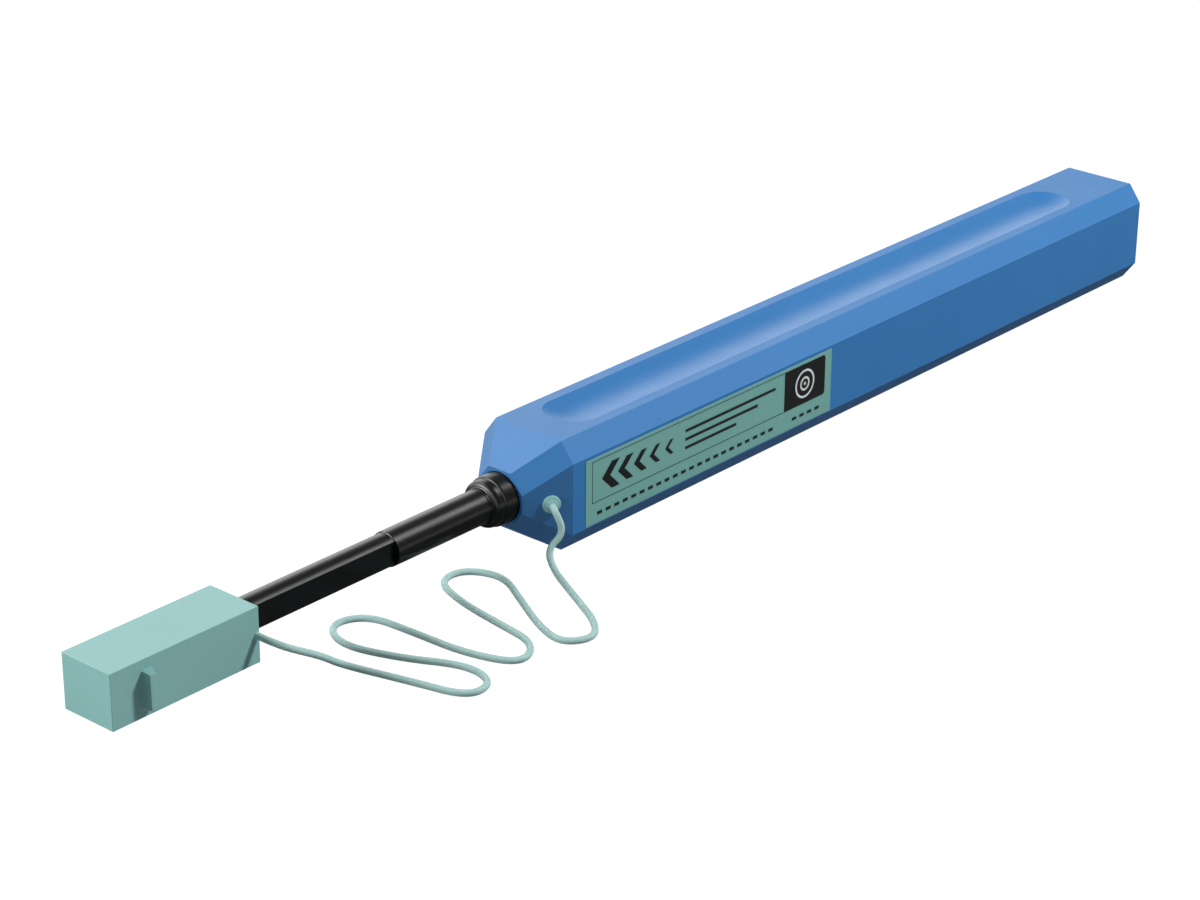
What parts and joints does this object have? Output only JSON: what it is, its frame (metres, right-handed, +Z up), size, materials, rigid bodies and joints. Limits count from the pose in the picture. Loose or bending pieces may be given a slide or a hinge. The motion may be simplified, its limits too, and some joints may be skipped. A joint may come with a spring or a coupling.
{
  "type": "fibre connector cleaning pen",
  "caption": "Push-to-clean pen for fibre connectors: eight-sided handle, slim sprung nozzle, thread-winding mechanism and a square cap on a limp tether.",
  "frame": {"origin": "on the floor under the housing's underside, on the pen's centre line, half-way between the cap's front face and the housing's back end", "axes": "+X from the nozzle towards the flat back end, +Y to the side away from the label, +Z up through the thumb recess"},
  "size_m": [0.2694, 0.0433, 0.02],
  "materials": {
    "blue_shell": "moulded ABS with a fine satin grain",
    "grey_plastic": "natural acetal",
    "label": "satin printed film",
    "teal_plastic": "moulded polypropylene",
    "black_plastic": "polished black acetal",
    "steel": "ground steel",
    "white_plastic": "moulded acetal gear",
    "thread": "woven microfibre",
    "cord": "soft vinyl cord"
  },
  "bodies": {
    "housing": {"housing": "blue_shell", "end_plug": "blue_shell", "drive_rail": "white_plastic", "label": "label", "tether_button": "teal_plastic", "tether_front": "cord"},
    "carriage": {"nozzle": "black_plastic", "nozzle_collar": "black_plastic", "nozzle_holder": "grey_plastic", "shaft_bearing": "grey_plastic", "spring_seat": "grey_plastic", "frame_left": "grey_plastic", "frame_right": "grey_plastic", "supply_axle": "steel", "takeup_axle": "steel", "pinion_axle": "steel", "guide_pins": "steel", "frame_dowels": "steel", "brake_washer": "steel", "ratchet_pawl": "steel", "return_spring": "steel", "cleaning_thread": "thread"},
    "cleaning_head": {"cleaning_shaft": "steel", "cleaning_tip": "white_plastic", "cam_barrel": "white_plastic"},
    "pinion": {"pinion": "white_plastic"},
    "takeup": {"takeup_spool": "white_plastic", "takeup_thread": "thread"},
    "supply": {"supply_spool": "white_plastic", "supply_thread": "thread"},
    "cap": {"cap": "teal_plastic", "tether_rear": "cord"}
  },
  "joints": [
    {"name": "nozzle_push", "type": "slide", "parent": "housing", "child": "carriage", "axis": [1, 0, 0], "range_m": [0, 0.011], "stiffness_N_per_m": 350, "springref_m": -0.004, "deforming": ["return_spring", "tether_front"]},
    {"name": "head_spin", "type": "hinge", "parent": "carriage", "child": "cleaning_head", "pos_m": [-0.0381, 0, 0.01], "axis": [1, 0, 0], "range_deg": [0, 180.5], "deforming": ["cleaning_thread"]},
    {"name": "pinion_spin", "type": "hinge", "parent": "carriage", "child": "pinion", "pos_m": [0.0399, 0, 0.0088], "axis": [0, 1, 0], "range_deg": [0, 131.8]},
    {"name": "takeup_spin", "type": "hinge", "parent": "carriage", "child": "takeup", "pos_m": [0.02951, 0, 0.00925], "axis": [0, 1, 0], "range_deg": [-113.05, 0]},
    {"name": "supply_spin", "type": "hinge", "parent": "carriage", "child": "supply", "pos_m": [0.0139, 0, 0.00925], "axis": [0, 1, 0], "range_deg": [0, 74.09]},
    {"name": "cap_pull", "type": "slide", "parent": "carriage", "child": "cap", "axis": [-1, 0, 0], "range_m": [0, 0.024], "deforming": ["tether_rear"]}
  ],
  "couplings": [
    {"joint": "head_spin", "follows": "nozzle_push", "rad_per_m": 285.6},
    {"joint": "pinion_spin", "follows": "nozzle_push", "rad_per_m": 208.33},
    {"joint": "takeup_spin", "follows": "nozzle_push", "rad_per_m": -178.57},
    {"joint": "supply_spin", "follows": "nozzle_push", "rad_per_m": 116.76}
  ]
}
